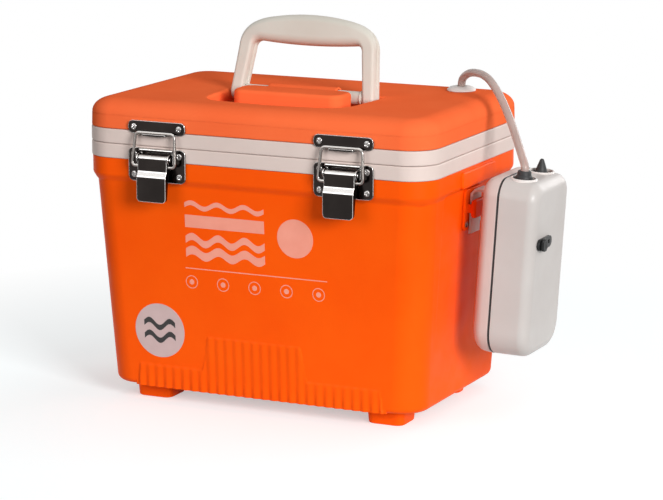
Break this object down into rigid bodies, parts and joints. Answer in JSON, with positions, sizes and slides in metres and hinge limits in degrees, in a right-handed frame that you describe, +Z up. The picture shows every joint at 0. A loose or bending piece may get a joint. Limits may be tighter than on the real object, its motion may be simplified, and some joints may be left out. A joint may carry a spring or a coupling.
{
  "type": "live bait well",
  "caption": "Insulated live bait box with hinged lid, folding handle, draw latches and a clip-on battery air pump feeding an air stone through a hose.",
  "frame": {"origin": "middle of the bounding box, at the soles of the feet", "axes": "+X across the width towards the air pump, +Y towards the hinges at the back, +Z up"},
  "size_m": [0.3822, 0.2226, 0.3187],
  "materials": {
    "body_plastic": "moulded, light sheen",
    "lid_plastic": "moulded, light sheen",
    "foam": "closed-cell foam",
    "liner_plastic": "smooth",
    "trim_plastic": "satin",
    "seal_rubber": "matt",
    "steel": "polished plate",
    "handle_plastic": "satin",
    "pump_plastic": "smooth",
    "black_rubber": "matt",
    "black_plastic": "satin",
    "white_plastic": "satin",
    "cell_jacket": "printed jacket, bare",
    "brass": "pressed spring metal",
    "hose_vinyl": "soft clear vinyl",
    "stone": "porous"
  },
  "bodies": {
    "tub": {"air_cone": "black_rubber", "air_hose": "hose_vinyl", "battery_contact_back": "brass", "battery_contact_front": "brass", "battery_spring_contact": "brass", "belt_clip": "white_plastic", "bracket_screw_back": "steel", "bracket_screw_front": "steel", "case_screw_1": "steel", "case_screw_2": "steel", "case_screw_3": "steel", "case_screw_4": "steel", "diaphragm": "seal_rubber", "dry_cell_back": "cell_jacket", "dry_cell_front": "cell_jacket", "foam_core": "foam", "hinge_leaf_lower_left": "steel", "hinge_leaf_lower_right": "steel", "hinge_pin_left": "steel", "hinge_pin_right": "steel", "hose_boot": "black_rubber", "hose_stub": "white_plastic", "inner_liner": "liner_plastic", "latch_base_left": "steel", "latch_base_right": "steel", "latch_pin_left": "steel", "latch_pin_right": "steel", "lower_trim_band": "trim_plastic", "outer_shell": "body_plastic", "pump_back_case": "pump_plastic", "pump_bracket": "white_plastic", "pump_case_seal": "black_rubber", "pump_front_case": "pump_plastic", "pump_motor": "steel", "switch_plate": "black_plastic", "valve_chamber": "white_plastic"},
    "lid": {"lid_shell": "lid_plastic", "lid_foam": "foam", "lid_liner": "liner_plastic", "lid_seal": "seal_rubber", "upper_trim_band": "trim_plastic", "strike_plate_left": "steel", "strike_plate_right": "steel", "strike_screw_left_outer": "steel", "strike_screw_left_inner": "steel", "strike_screw_right_outer": "steel", "strike_screw_right_inner": "steel", "hinge_leaf_upper_left": "steel", "hinge_leaf_upper_right": "steel", "lid_grommet": "white_plastic", "air_hose_in_well": "hose_vinyl", "air_stone": "stone"},
    "handle": {"handle": "handle_plastic"},
    "lever_left": {"latch_lever_left": "steel"},
    "lever_right": {"latch_lever_right": "steel"},
    "bail_left": {"latch_bail_left": "steel"},
    "bail_right": {"latch_bail_right": "steel"},
    "switch_knob": {"switch_knob": "black_plastic"},
    "crank_wheel": {"crank_wheel": "white_plastic"}
  },
  "joints": [
    {"name": "lid_hinge", "type": "hinge", "parent": "tub", "child": "lid", "pos_m": [-0.03357, 0.10773, 0.21825], "axis": [-1, 0, 0], "range_deg": [0, 100], "deforming": ["air_hose"]},
    {"name": "handle_pivot", "type": "hinge", "parent": "lid", "child": "handle", "pos_m": [-0.03357, 0.00222, 0.253], "axis": [1, 0, 0], "range_deg": [0, 104]},
    {"name": "latch_lever_left", "type": "hinge", "parent": "tub", "child": "lever_left", "pos_m": [-0.11705, -0.10558, 0.2093], "axis": [-1, 0, 0], "range_deg": [0, 150]},
    {"name": "latch_bail_left", "type": "hinge", "parent": "lever_left", "child": "bail_left", "pos_m": [-0.11705, -0.10648, 0.2033], "axis": [-1, 0, 0], "range_deg": [-175, 0]},
    {"name": "latch_lever_right", "type": "hinge", "parent": "tub", "child": "lever_right", "pos_m": [0.0499, -0.10558, 0.2093], "axis": [-1, 0, 0], "range_deg": [0, 150]},
    {"name": "latch_bail_right", "type": "hinge", "parent": "lever_right", "child": "bail_right", "pos_m": [0.0499, -0.10648, 0.2033], "axis": [-1, 0, 0], "range_deg": [-175, 0]},
    {"name": "switch_slide", "type": "slide", "parent": "tub", "child": "switch_knob", "axis": [0, 1, 0], "range_m": [0, 0.013]},
    {"name": "crank_spin", "type": "hinge", "parent": "tub", "child": "crank_wheel", "pos_m": [0.163, 0.00222, 0.14514], "axis": [0, 1, 0], "continuous": true}
  ],
  "couplings": [
    {"joint": "latch_bail_left", "follows": "latch_lever_left", "ratio": -1.15},
    {"joint": "latch_bail_right", "follows": "latch_lever_right", "ratio": -1.15}
  ]
}
